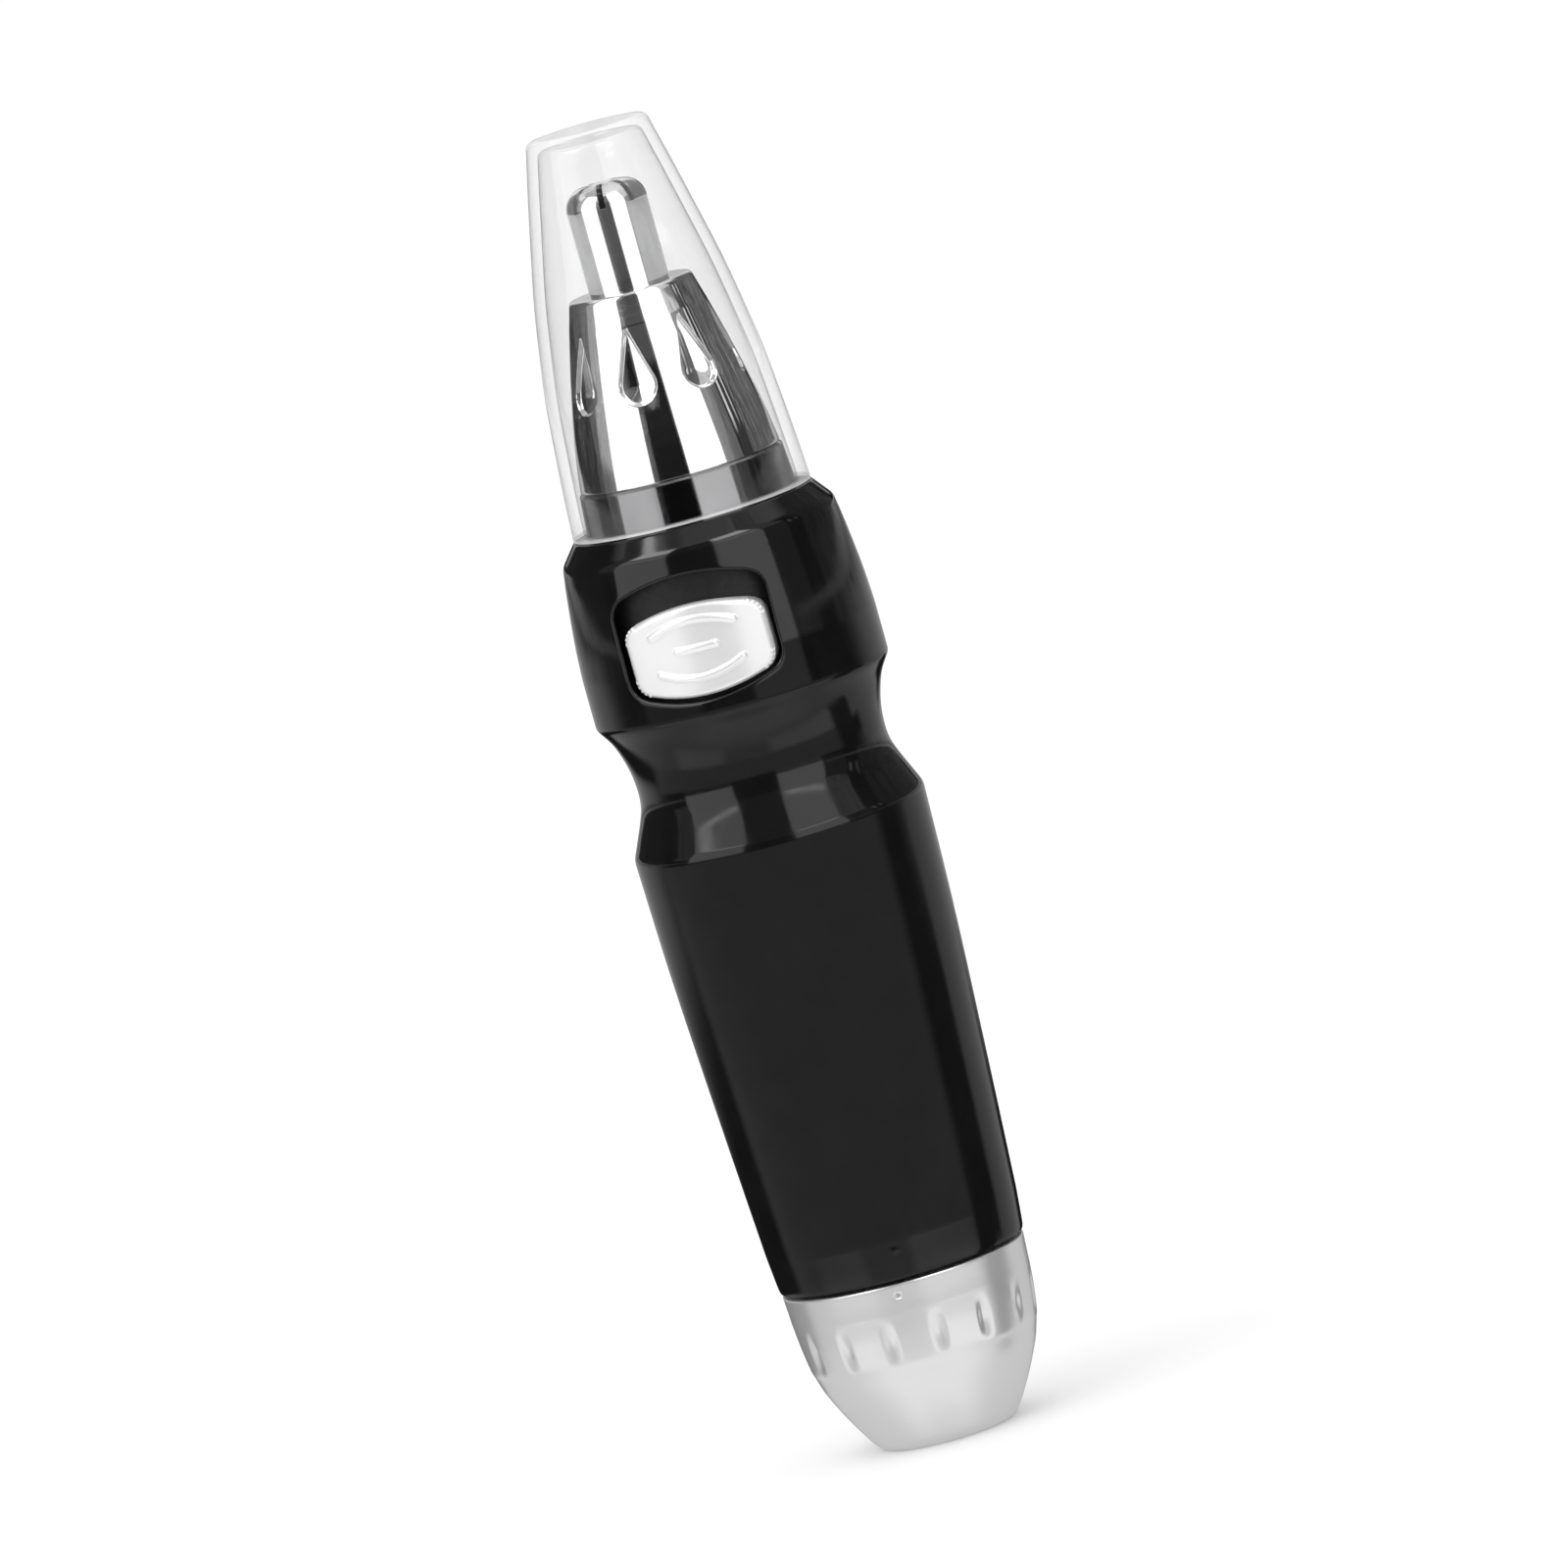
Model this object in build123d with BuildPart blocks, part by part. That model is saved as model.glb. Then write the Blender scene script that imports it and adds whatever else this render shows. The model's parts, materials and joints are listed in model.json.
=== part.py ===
from build123d import *

import os
from math import cos, radians, sin

# A battery nose hair trimmer, standing on its battery cap. Millimetres.
# The origin is the centre of the flat under the battery cap, +Z runs up the axis to
# the cutter, and the sliding switch faces -Y. Outlines are (radius, height) points.

# ---- driving dimensions ----------------------------------------------------------
cell_radius = 7.1
cell_length = 49.5
cell_nub_radius = 2.75
cell_nub_length = 1.0

cap_top = 18.0
cap_floor = 4.0
cap_wall_seat = 10.0
dimple_count = 15
dimple_height = 12.0
dimple_size = (1.9, 4.4)
dimple_depth = 0.45
dimple_turn = -2.7

shell_low = 18.35
shell_top = 98.4
shell_mouth = 11.2
crease_height = 65.4
shoulder_height = 96.3
waist_radius = 13.1
barrel_radius = 15.45

neck_radius = 10.9
neck_bore = 9.4
neck_top = 25.5
neck_lug = (11.7, 22.5, 24.5)
neck_lug_half_angle = 9
bayonet_play = 0.4
cap_twist = 40

collar_low = 92.5
collar_top = 103.1
collar_bore = 9.2
skirt_radius = 8.9
skirt_bore = 7.6
skirt_low = 97.0
head_lug = (9.6, 98.0, 99.5)
head_lug_half_angle = 10
head_twist = 45

cone_low = 103.2
cone_top = 122.3
cone_radius = 10.5
recess_count = 8
recess_depth = 0.75

tube_radius = 4.2
tube_wall = 0.3
tube_low = 112.0
tube_top = 133.2
tube_shoulder = 2.2
tube_slot_count = 8
tube_slot_width = 0.65
tube_slot_depth = 2.3
tube_slot_turn = 6

clear_low = 98.6
clear_top = 139.1
clear_wall = 1.2

window_width = 16.2
window_low = 81.0
window_high = 93.9
window_side = 7.0
button_gap = 0.5
button_height = 9.4
button_radius = 15.1
button_rib_radius = 15.42
switch_travel = 2.6

motor_low = 63.4
motor_can_low = 65.5
motor_top = 88.5
motor_radius = 10.2
motor_flat = 15.4
motor_wall = 0.7
shaft_radius = 1.0
running_play = 0.05

frame_floor = 59.4
frame_plate = 1.2
tube_liner = (7.5, 8.5)
liner_low = 27.0
frame_radius = 11.3
contact_thickness = 0.3

spindle_square = 3.0
spindle_low = 94.6

os.makedirs("parts", exist_ok=True)


# ---- helpers ---------------------------------------------------------------------
def save(part, name):
    """Label a finished piece and write it."""
    part.label = name
    export_step(part, f"parts/{name}.step")


def meridian(angle):
    """The upright half plane at an angle from +X: local x is the radius, local y the height."""
    a = radians(angle)
    return Plane(origin=(0, 0, 0), x_dir=(cos(a), sin(a), 0), z_dir=(sin(a), -cos(a), 0))


def radial_plane(radius, angle, height, lean=0):
    """A plane facing outwards at a place on a round wall, leaning back by some degrees."""
    a = radians(angle)
    t = radians(lean)
    out = (cos(a) * cos(t), sin(a) * cos(t), sin(t))
    across = (-sin(a), cos(a), 0)
    return Plane(origin=(radius * cos(a), radius * sin(a), height), x_dir=across, z_dir=out)


def ring(inner, outer, low, high, mode=Mode.ADD):
    """A plain ring or disc about the axis."""
    with BuildSketch(Plane.XY.offset(low)) as section:
        Circle(outer)
        if inner > 0:
            Circle(inner, mode=Mode.SUBTRACT)
    extrude(section.sketch, amount=high - low, mode=mode)


def sector(inner, outer, low, high, centre, half_angle, mode=Mode.ADD):
    """A stretch of a ring, centred on an angle from +X."""
    with BuildSketch(meridian(centre - half_angle)) as section:
        with Locations(((inner + outer) / 2, (low + high) / 2)):
            Rectangle(outer - inner, high - low)
    revolve(section.sketch, axis=Axis.Z, revolution_arc=2 * half_angle, mode=mode)


def block(x, y, z, mode=Mode.ADD):
    """A box between pairs of coordinates."""
    middle = [(low + high) / 2 for low, high in (x, y, z)]
    with Locations(tuple(middle)):
        Box(x[1] - x[0], y[1] - y[0], z[1] - z[0], mode=mode)


def bowed_outline(width, low, high, side, corner):
    """An upright rounded shape with straight sides and bowed top and bottom edges."""
    half = width / 2
    middle = (low + high) / 2
    upper = middle + side / 2 + corner
    lower = middle - side / 2 - corner
    with BuildLine() as outline:
        ThreePointArc((-half, upper), (0, high), (half, upper))
        Line((half, upper), (half, lower))
        ThreePointArc((half, lower), (0, low), (-half, lower))
        Line((-half, lower), (-half, upper))
    make_face(outline.edges())
    fillet(vertices(), corner)


def coil(radius, top_radius, wire, low, high, turns):
    """A round wire spring about the axis, with its wire just inside low and high."""
    height = high - low - 2 * wire
    lean = 0
    if top_radius != radius:
        lean = -Vector(height, radius - top_radius).get_angle(Vector(1, 0))
    with BuildLine():
        path = Helix(height / turns, height, radius, center=(0, 0, low + wire), cone_angle=lean)
    with BuildSketch(Plane(origin=path @ 0, z_dir=path % 0)) as section:
        Circle(wire)
    sweep(section.sketch, path=path, is_frenet=True)


# ---- battery cap and what turns with it ------------------------------------------
with BuildPart() as battery_cap:
    with BuildSketch(Plane.XZ):
        with BuildLine():
            Line((0, 0), (6.9, 0))
            Spline(
                (6.9, 0), (7.85, 1.0), (9.65, 4.0), (11.1, 7.0),
                (12.05, 10.0), (12.55, 14.0), (12.78, 17.7),
                tangents=[(1, 0.25), (0.05, 1)],
            )
            Line((12.78, 17.7), (12.5, cap_top))
            Polyline(
                (12.5, cap_top), (neck_radius, cap_top), (neck_radius, cap_wall_seat),
                (9.6, cap_wall_seat), (9.6, 8.5), (8.5, cap_floor), (0, cap_floor), (0, 0),
            )
        make_face()
    revolve(axis=Axis.Z)
    for turn in range(dimple_count):
        angle = -90 + dimple_turn + turn * 360 / dimple_count
        with BuildSketch(radial_plane(12.35 - dimple_depth, angle, dimple_height, -6)):
            Ellipse(dimple_size[0] / 2, dimple_size[1] / 2)
        extrude(amount=2, mode=Mode.SUBTRACT)
    with BuildSketch(radial_plane(12.6, -83, 16.8)):
        Circle(0.35)
    extrude(amount=0.3)
save(battery_cap.part, "battery_cap")

# The black neck is glued into the cap, and its two lugs run in the shell's grooves.
with BuildPart() as cap_neck:
    ring(neck_bore, neck_radius, cap_wall_seat, neck_top)
    for side in (0, 180):
        sector(neck_radius - 0.2, neck_lug[0], neck_lug[1], neck_lug[2], side, neck_lug_half_angle)
save(cap_neck.part, "cap_neck")

riser_radius = 8.0
strip_low = liner_low - 0.4
with BuildPart() as cap_contact_plate:
    ring(0, riser_radius + contact_thickness, cap_floor, cap_floor + contact_thickness)
    riser_top = strip_low - 0.2
    sector(riser_radius, riser_radius + contact_thickness, cap_floor, riser_top, 90, 14)
save(cap_contact_plate.part, "cap_contact_plate")

spring_low = cap_floor + contact_thickness
cell_low = 8.3
with BuildPart() as battery_spring:
    coil(5.2, 3.2, 0.35, spring_low, cell_low, 3)
save(battery_spring.part, "battery_spring")

# ---- the cell --------------------------------------------------------------------
cell_top = cell_low + cell_length
with BuildPart() as battery_cell:
    ring(0, cell_radius, cell_low, cell_top)
    fillet(battery_cell.edges().filter_by(GeomType.CIRCLE), 0.4)
save(battery_cell.part, "battery_cell")

with BuildPart() as battery_terminal:
    ring(0, cell_nub_radius, cell_top, cell_top + cell_nub_length)
save(battery_terminal.part, "battery_terminal")

# ---- main shell ------------------------------------------------------------------
with BuildPart() as body_shell:
    with BuildSketch(Plane.XZ):
        with BuildLine():
            Polyline((shell_mouth, shell_low), (12.6, shell_low), (12.9, 18.7))
            Spline((12.9, 18.7), (13.3, 22.4), (14.15, 37.3), (14.92, 52.4), (15.3, crease_height))
            Line((15.3, crease_height), (13.7, 69.0))
            Spline((13.7, 69.0), (waist_radius, 72.3), (13.35, 74.7), (14.2, 77.4), (barrel_radius, 79.4))
            Line((barrel_radius, 79.4), (barrel_radius, 84.6))
            Spline(
                (barrel_radius, 84.6), (15.02, 90.65), (14.3, shoulder_height),
                tangents=[(0, 1), (-0.16, 1)],
            )
            Polyline(
                (14.3, shoulder_height), (12.7, 98.3), (12.6, shell_top), (11.05, shell_top),
                (11.05, 95.8), (13.2, 95.0), (13.2, 80.2), (11.6, 77.5), (11.6, 67.5), (13.3, 63.0),
                (shell_mouth + 0.2, 29.0), (shell_mouth, 29.0), (shell_mouth, shell_low),
            )
        make_face()
    revolve(axis=Axis.Z)
    # four ribs that centre the inner frame
    for turn in range(4):
        with BuildSketch(meridian(45 + 90 * turn)):
            with Locations((12.45, 47)):
                Rectangle(2.1, 34)
        extrude(amount=0.6, both=True)
    # the window that the switch slides in
    with BuildSketch(Plane.XZ.offset(10)):
        bowed_outline(window_width, window_low, window_high, window_side, 1.3)
    extrude(amount=7, mode=Mode.SUBTRACT)
    # two grooves for the battery cap's lugs: in along the axis, then round
    groove = neck_lug[0] + 0.3
    wide = neck_lug_half_angle + 3
    low = neck_lug[1] - bayonet_play
    high = neck_lug[2] + bayonet_play
    for side in (0, 180):
        sector(10.5, groove, shell_low - 1, high, side, wide, Mode.SUBTRACT)
        middle = side + cap_twist / 2
        sector(10.5, groove, low, high, middle, wide + cap_twist / 2, Mode.SUBTRACT)
    with BuildSketch(radial_plane(13.0, -79, 21.4)):
        Circle(0.3)
    extrude(amount=0.35)
save(body_shell.part, "body_shell")

# ---- fixed collar that the cone and the clear cap fit on -------------------------
with BuildPart() as head_collar:
    with BuildSketch(Plane.XZ):
        with BuildLine():
            Polyline(
                (3.8, collar_low), (11.05, collar_low), (11.05, shell_top), (10.7, 102.8),
                (10.4, collar_top), (collar_bore, collar_top), (collar_bore, 93.7), (3.8, 93.7),
                close=True,
            )
        make_face()
    revolve(axis=Axis.Z)
    groove = head_lug[0] + 0.3
    wide = head_lug_half_angle + 3
    low = head_lug[1] - bayonet_play
    high = head_lug[2] + bayonet_play
    for side in (0, 180):
        sector(9.0, groove, low, collar_top + 1, side, wide, Mode.SUBTRACT)
        middle = side + head_twist / 2
        sector(9.0, groove, low, high, middle, wide + head_twist / 2, Mode.SUBTRACT)
save(head_collar.part, "head_collar")

# ---- inner frame: battery tube below, motor cradle above -------------------------
plate_top = frame_floor + frame_plate
bridge_top = motor_top + 1.2
screw_offset = 6.0
screw_radius = 0.8
strip_y = (-9.7, -9.4)
strip_x = ((-3.5, -1.5), (1.5, 3.5))
with BuildPart() as inner_frame:
    ring(tube_liner[0], tube_liner[1], liner_low, frame_floor)
    ring(0, frame_radius, frame_floor, plate_top)
    for side in (0, 180):
        sector(motor_radius + 0.1, frame_radius, plate_top, bridge_top, side, 24)
    with BuildSketch(Plane.XY.offset(motor_top)):
        Rectangle(23, 9)
        Circle(frame_radius, mode=Mode.INTERSECT)
        Circle(3.3, mode=Mode.SUBTRACT)
        with Locations((-screw_offset, 0), (screw_offset, 0)):
            Circle(screw_radius + 0.15, mode=Mode.SUBTRACT)
    extrude(amount=bridge_top - motor_top)
    # ways through the plate for the contact strips
    sector(8.4, 9.0, frame_floor - 1, plate_top + 1, 90, 13, Mode.SUBTRACT)
    block((1.4, 3.6), (-9.8, -9.3), (frame_floor - 1, plate_top + 1), Mode.SUBTRACT)
save(inner_frame.part, "inner_frame")

with BuildPart() as positive_contact:
    block((-2.5, 2.5), (-6.5, 4.0), (frame_floor - contact_thickness, frame_floor))
save(positive_contact.part, "positive_contact")

with BuildPart() as negative_strip:
    ring(7.6, 8.8, strip_low, liner_low)
    sector(8.5, 8.8, strip_low, 62.0, 90, 12)
save(negative_strip.part, "negative_strip")


# ---- motor -----------------------------------------------------------------------
def motor_section(inset=0.0):
    """The motor's round section with its two flats, drawn in from the outside."""
    Circle(motor_radius - inset)
    Rectangle(2 * motor_radius, motor_flat - 2 * inset, mode=Mode.INTERSECT)


with BuildPart() as motor_can:
    with BuildSketch(Plane.XY.offset(motor_can_low)):
        motor_section()
    extrude(amount=motor_top - motor_can_low)
    with BuildSketch(Plane.XY.offset(motor_can_low)):
        motor_section(motor_wall)
    extrude(amount=motor_top - motor_can_low - motor_wall, mode=Mode.SUBTRACT)
    ring(0, 3.0, motor_top, motor_top + 1.6)
    ring(0, shaft_radius + running_play, motor_top - 2, motor_top + 3, Mode.SUBTRACT)
    with Locations((-screw_offset, 0, motor_top), (screw_offset, 0, motor_top)):
        Cylinder(screw_radius, 4, mode=Mode.SUBTRACT)
save(motor_can.part, "motor_can")

with BuildPart() as motor_end_cap:
    with BuildSketch(Plane.XY.offset(motor_low)):
        motor_section(0.1)
    extrude(amount=motor_can_low - motor_low)
    ring(0, shaft_radius + running_play, motor_low + 0.7, motor_can_low + 1, Mode.SUBTRACT)
save(motor_end_cap.part, "motor_end_cap")

with BuildPart() as motor_magnets:
    for side in (0, 180):
        sector(6.5, motor_radius - motor_wall, 71.0, 82.5, side, 40)
save(motor_magnets.part, "motor_magnets")

commutator_radius = 2.2
with BuildPart() as motor_brushes:
    for side in (-1, 1):
        near = side * (commutator_radius + running_play)
        far = side * (commutator_radius + 0.45)
        block(sorted((near, far)), (-1.1, 1.1), (motor_can_low, 68.8))
save(motor_brushes.part, "motor_brushes")

with BuildPart() as motor_terminals:
    for side in (-1, 1):
        block(sorted((side * 4.2, side * 6.2)), (5.0, 5.35), (61.2, motor_low))
save(motor_terminals.part, "motor_terminals")

with BuildPart() as motor_screws:
    for side in (-1, 1):
        with Locations((side * screw_offset, 0, bridge_top + 0.55)):
            Cylinder(1.6, 1.1)
        with Locations((side * screw_offset, 0, bridge_top - 0.9)):
            Cylinder(screw_radius, 1.8)
        with Locations((side * screw_offset, 0, bridge_top + 1.0)):
            Box(2.0, 0.4, 0.5, mode=Mode.SUBTRACT)
            Box(0.4, 2.0, 0.5, mode=Mode.SUBTRACT)
save(motor_screws.part, "motor_screws")

# ---- motor rotor and drive -------------------------------------------------------
core_low = 71.5
core_high = 82.0


def winding_space():
    """The room between the three poles of the armature."""
    Circle(5.3)
    Circle(2.6, mode=Mode.SUBTRACT)
    with PolarLocations(2.5, 3):
        Rectangle(6.0, 2.2, mode=Mode.SUBTRACT)


with BuildPart() as motor_shaft:
    ring(0, shaft_radius, motor_low + 0.9, 94.0)
save(motor_shaft.part, "motor_shaft")

with BuildPart() as armature_core:
    ring(shaft_radius, 6.0, core_low, core_high)
    with BuildSketch(Plane.XY.offset(core_low)):
        winding_space()
        with PolarLocations(5.5, 3, start_angle=60):
            Rectangle(2.0, 1.0)
    extrude(amount=core_high - core_low, mode=Mode.SUBTRACT)
save(armature_core.part, "armature_core")

with BuildPart() as armature_windings:
    with BuildSketch(Plane.XY.offset(core_low - 1.4)):
        winding_space()
    extrude(amount=core_high - core_low + 2.8)
save(armature_windings.part, "armature_windings")

with BuildPart() as commutator:
    ring(shaft_radius, commutator_radius, 66.2, 69.6)
save(commutator.part, "commutator")

socket_low = spindle_low - 0.4
coupler_top = 98.5
with BuildPart() as drive_coupler:
    ring(0, 3.2, 91.0, coupler_top)
    ring(0, shaft_radius, 90.0, 94.0, Mode.SUBTRACT)
    with BuildSketch(Plane.XY.offset(socket_low)):
        Rectangle(spindle_square + 0.2, spindle_square + 0.2)
    extrude(amount=coupler_top - socket_low, mode=Mode.SUBTRACT)
save(drive_coupler.part, "drive_coupler")

# ---- switch ----------------------------------------------------------------------
button_low = window_low + 0.45
button_high = button_low + button_height
button_middle = (button_low + button_high) / 2
rib_width = 0.7
rib_reach = 4.3
stem_low = button_middle - 2.2
stem_high = button_middle + 1.2
with BuildPart() as switch_guide:
    sector(12.1, 13.1, 80.3, 94.7, -90, 40)
    stem_room = (stem_low - 0.4, stem_high + 0.4 + switch_travel)
    block((-2.7, 2.7), (-14, -11), stem_room, Mode.SUBTRACT)
save(switch_guide.part, "switch_guide")

with BuildPart() as button_ribs:
    with BuildSketch(Plane.XZ.offset(14)):
        for end, middle in ((2.15, 3.2), (-1.7, -2.75)):
            with BuildLine():
                rib = ThreePointArc(
                    (-rib_reach, button_middle + end),
                    (0, button_middle + middle),
                    (rib_reach, button_middle + end),
                )
            SlotArc(rib, rib_width)
        with Locations((0, button_middle + 0.25)):
            SlotOverall(4.4, rib_width)
    extrude(amount=4)
    ring(0, button_rib_radius, 80, 93, Mode.INTERSECT)

with BuildPart() as switch_button:
    button_width = window_width - 2 * button_gap - 0.3
    with BuildSketch(Plane.XZ.offset(10)):
        bowed_outline(button_width, button_low, button_high, 3.9, 1.2)
    extrude(amount=8)
    ring(13.4, button_radius, 80, 93, Mode.INTERSECT)
    block((-2.3, 2.3), (-14, -11.8), (stem_low, stem_high))
    add(button_ribs.part)
save(switch_button.part, "switch_button")

slider_low = button_middle - 4.5
slider_inner = 10.8
with BuildPart() as switch_slider:
    sector(slider_inner, 11.8, slider_low, slider_low + 7.6, -90, 20)
save(switch_slider.part, "switch_slider")

with BuildPart() as switch_contact:
    sector(slider_inner - 0.35, slider_inner, slider_low + 1.5, slider_low + 6.5, -90, 18)
save(switch_contact.part, "switch_contact")

with BuildPart() as switch_strips:
    block(strip_x[0], strip_y, (plate_top, 88.0))
    block(strip_x[1], strip_y, (frame_floor - 0.3, 88.0))
save(switch_strips.part, "switch_strips")

# ---- cutter head -----------------------------------------------------------------
with BuildPart() as head_cone:
    with BuildSketch(Plane.XZ):
        with BuildLine():
            Polyline(
                (skirt_bore, skirt_low), (skirt_radius, skirt_low), (skirt_radius, cone_low),
                (cone_radius, cone_low),
            )
            Spline(
                (cone_radius, cone_low), (9.75, 108.2), (9.1, 111.5), (8.15, 115.6), (6.45, 121.9),
            )
            ThreePointArc((6.45, 121.9), (6.3, 122.2), (6.0, cone_top))
            Polyline(
                (6.0, cone_top), (tube_radius, cone_top), (tube_radius, 120.3), (5.6, 120.3),
                (6.9, 115.6), (7.8, 111.5), (8.4, 108.2), (8.8, 105.0), (skirt_bore, 104.0),
                (skirt_bore, skirt_low),
            )
        make_face()
    revolve(axis=Axis.Z)
    for side in (0, 180):
        sector(skirt_radius - 0.2, head_lug[0], head_lug[1], head_lug[2], side, head_lug_half_angle)
    for turn in range(recess_count):
        angle = -90 + turn * 360 / recess_count
        with BuildSketch(radial_plane(8.35 - recess_depth, angle, 114.9, 14)):
            with Locations((0, -1.8)):
                Circle(2.1)
            with Locations((0, 3.0)):
                Circle(0.9)
            make_hull()
        extrude(amount=3, mode=Mode.SUBTRACT)
save(head_cone.part, "head_cone")

tube_bore = tube_radius - tube_wall
with BuildPart() as cutter_tube:
    with BuildSketch(Plane.XZ):
        outer_bend = tube_top - tube_shoulder
        inner_round = tube_shoulder - tube_wall
        flat = tube_radius - tube_shoulder
        with BuildLine():
            Polyline((0, tube_top - tube_wall), (0, tube_top), (flat, tube_top))
            RadiusArc((flat, tube_top), (tube_radius, outer_bend), tube_shoulder)
            Polyline(
                (tube_radius, outer_bend), (tube_radius, 120.3), (5.4, 120.3), (5.4, 119.3),
                (tube_radius, 119.3), (tube_radius, tube_low), (tube_bore, tube_low),
                (tube_bore, outer_bend),
            )
            RadiusArc((tube_bore, outer_bend), (flat, tube_top - tube_wall), -inner_round)
            Line((flat, tube_top - tube_wall), (0, tube_top - tube_wall))
        make_face()
    revolve(axis=Axis.Z)
    for turn in range(tube_slot_count):
        angle = -90 + tube_slot_turn + turn * 360 / tube_slot_count
        with BuildSketch(radial_plane(1.3, angle, tube_top)):
            with Locations((0, 1 - tube_slot_depth / 2)):
                Rectangle(tube_slot_width, tube_slot_depth + 2)
        extrude(amount=4, mode=Mode.SUBTRACT)
save(cutter_tube.part, "cutter_tube")

with BuildPart() as blade_washer:
    ring(3.3, 7.3, 98.7, 99.5)
save(blade_washer.part, "blade_washer")

spring_seat = 99.5
flange_low = 106.5
with BuildPart() as blade_spring:
    coil(4.2, 4.2, 0.3, spring_seat, flange_low - 0.3, 5)
save(blade_spring.part, "blade_spring")

blade_width = 2 * (tube_bore - 0.08)
blade_thickness = 0.8
blade_low = 116.0
spindle_top = 122.5
with BuildPart() as blade_spindle:
    with BuildSketch(Plane.XY.offset(spindle_low)):
        Rectangle(spindle_square, spindle_square)
    extrude(amount=4.2)
    ring(0, 2.6, spindle_low + 4.2, flange_low)
    ring(0, 5.5, flange_low, flange_low + 1.2)
    ring(0, 3.0, flange_low + 1.2, spindle_top)
    ring(0, tube_bore - 0.07, 113.0, 115.5)
    slot = blade_thickness / 2
    block((-5, 5), (-slot, slot), (blade_low, spindle_top + 1), Mode.SUBTRACT)
save(blade_spindle.part, "blade_spindle")

with BuildPart() as cutter_blade:
    with BuildSketch(Plane.XZ.offset(-blade_thickness / 2)):
        half = blade_width / 2
        blade_top = tube_top - tube_wall - 0.2
        shoulder = tube_shoulder - tube_wall
        with BuildLine():
            Polyline(
                (-half, blade_top - shoulder), (-half, blade_low), (half, blade_low),
                (half, blade_top - shoulder),
            )
            RadiusArc((half, blade_top - shoulder), (half - shoulder, blade_top), -shoulder)
            Line((half - shoulder, blade_top), (shoulder - half, blade_top))
            RadiusArc((shoulder - half, blade_top), (-half, blade_top - shoulder), -shoulder)
        make_face()
        with Locations((0, 127)):
            Rectangle(4.4, 7.6, mode=Mode.SUBTRACT)
    extrude(amount=blade_thickness)
save(cutter_blade.part, "cutter_blade")

# ---- clear cap -------------------------------------------------------------------
clear_outline = [(12.52, clear_low), (11.95, 107.4), (10.78, 117.8), (8.85, 127.9), (6.7, 137.2)]
with BuildPart() as clear_cap:
    with BuildSketch(Plane.XZ):
        inner_outline = [(r - clear_wall, z) for r, z in clear_outline]
        with BuildLine():
            Spline(*clear_outline)
            ThreePointArc(clear_outline[-1], (6.3, 138.6), (5.2, clear_top))
            Polyline((5.2, clear_top), (0, clear_top), (0, clear_top - clear_wall))
            Line((0, clear_top - clear_wall), (5.0, clear_top - clear_wall))
            Line((5.0, clear_top - clear_wall), inner_outline[-1])
            Spline(*reversed(inner_outline))
            Line(inner_outline[0], clear_outline[0])
        make_face()
    revolve(axis=Axis.Z)
save(clear_cap.part, "clear_cap")

# ---- leads -----------------------------------------------------------------------
lead_radius = 0.4
lead_height = plate_top + 0.7
with BuildPart() as lead_wires:
    # from the left switch strip, and from the battery strip, to the motor's terminals
    routes = (
        [(-3.6, -9.55, lead_height), (-6.0, -9.55, lead_height), (-7.0, 0, lead_height),
         (-7.0, 4.5, lead_height), (-6.3, 5.17, lead_height)],
        [(2.0, 8.4, lead_height), (4.0, 7.6, lead_height), (5.2, 6.6, lead_height),
         (5.2, 5.4, lead_height)],
    )
    for route in routes:
        with BuildLine():
            path = FilletPolyline(*route, radius=0.6)
        with BuildSketch(Plane(origin=path @ 0, z_dir=path % 0)):
            Circle(lead_radius)
        sweep(path=path)
save(lead_wires.part, "lead_wires")
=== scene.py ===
import json
import math

import bmesh
import bpy
import numpy as np
from mathutils import Matrix, Vector


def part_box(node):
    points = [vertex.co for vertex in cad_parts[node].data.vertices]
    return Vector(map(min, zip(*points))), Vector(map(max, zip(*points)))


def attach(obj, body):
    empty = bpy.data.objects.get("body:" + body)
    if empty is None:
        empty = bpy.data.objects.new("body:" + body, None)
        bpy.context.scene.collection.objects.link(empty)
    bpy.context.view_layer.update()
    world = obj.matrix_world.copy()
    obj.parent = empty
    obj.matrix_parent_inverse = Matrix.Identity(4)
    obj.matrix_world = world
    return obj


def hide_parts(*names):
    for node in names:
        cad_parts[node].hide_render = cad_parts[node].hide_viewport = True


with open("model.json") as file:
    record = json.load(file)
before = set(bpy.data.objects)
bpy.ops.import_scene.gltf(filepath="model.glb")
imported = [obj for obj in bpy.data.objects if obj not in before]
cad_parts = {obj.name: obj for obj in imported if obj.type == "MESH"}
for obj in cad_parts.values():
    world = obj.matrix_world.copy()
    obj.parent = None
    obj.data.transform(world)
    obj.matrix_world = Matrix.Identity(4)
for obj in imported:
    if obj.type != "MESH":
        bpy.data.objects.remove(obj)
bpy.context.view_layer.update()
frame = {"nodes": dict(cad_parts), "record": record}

# The looks of a battery nose hair trimmer. Outlines are (radius, height) points in
# millimetres, in the frame of the CAD model; meshes are scaled to metres as they are made.

MM = 0.001
BUTTON_FACE = -90.0          # degrees from +X: the side that the switch is on
COLLAR_GAP = 0.1             # between the collar's top and the cone's lower edge


def height_of(node, end):
    """The lowest (end 0) or highest (end 1) point of a CAD node, in millimetres."""
    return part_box(node)[end].z / MM


shell_low = height_of("body_shell", 0)
shell_top = height_of("body_shell", 1)
cap_top = height_of("battery_cap", 1)
cone_low = height_of("head_collar", 1) + COLLAR_GAP
cone_top = height_of("head_cone", 1)
clear_low = height_of("clear_cap", 0)
clear_top = height_of("clear_cap", 1)
barrel_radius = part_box("body_shell")[1].x / MM


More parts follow.
